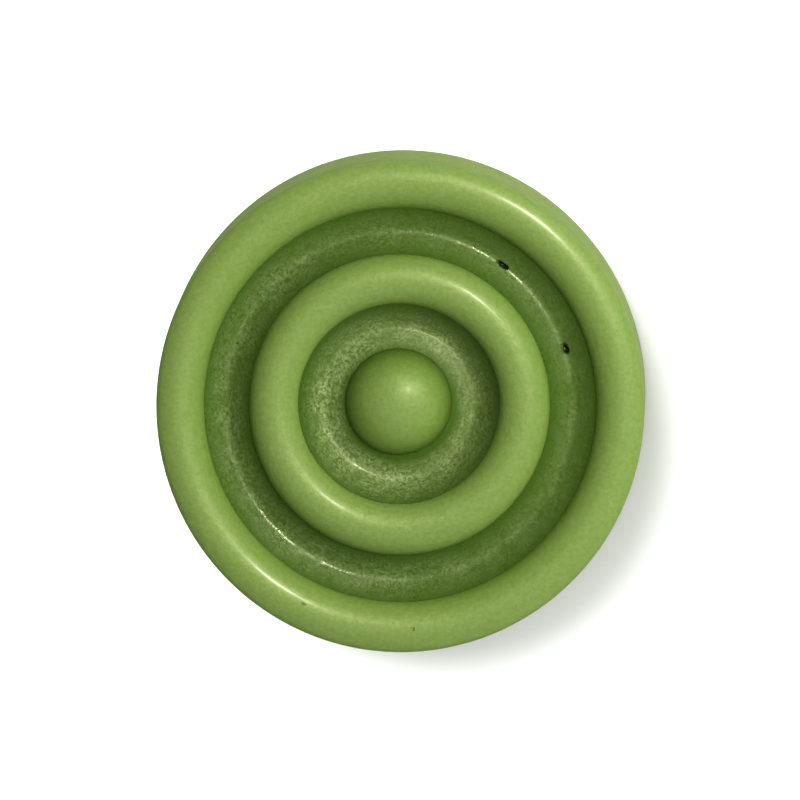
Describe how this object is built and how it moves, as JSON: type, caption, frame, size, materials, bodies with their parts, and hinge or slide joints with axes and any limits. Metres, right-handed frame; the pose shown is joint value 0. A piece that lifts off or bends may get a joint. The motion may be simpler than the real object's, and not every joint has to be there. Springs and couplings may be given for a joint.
{
  "type": "shaving soap puck",
  "caption": "Round cake of shaving soap with raised concentric rings and a central dome on one face and a flat back to rest on.",
  "frame": {"origin": "centre of the flat back, on the surface that the puck rests on", "axes": "+Z out of the relief face, along the axis of the rings; +X and +Y are arbitrary, because the puck is round"},
  "size_m": [0.076, 0.076, 0.025],
  "materials": {
    "base_soap": "frosted, slightly translucent green soap with a wet-looking gloss in the grooves",
    "relief_soap": "smooth opaque light green soap with a waxy sheen"
  },
  "bodies": {
    "root": {"base": "base_soap", "outer_ring": "relief_soap", "inner_ring": "relief_soap", "centre_dome": "relief_soap"}
  },
  "joints": []
}
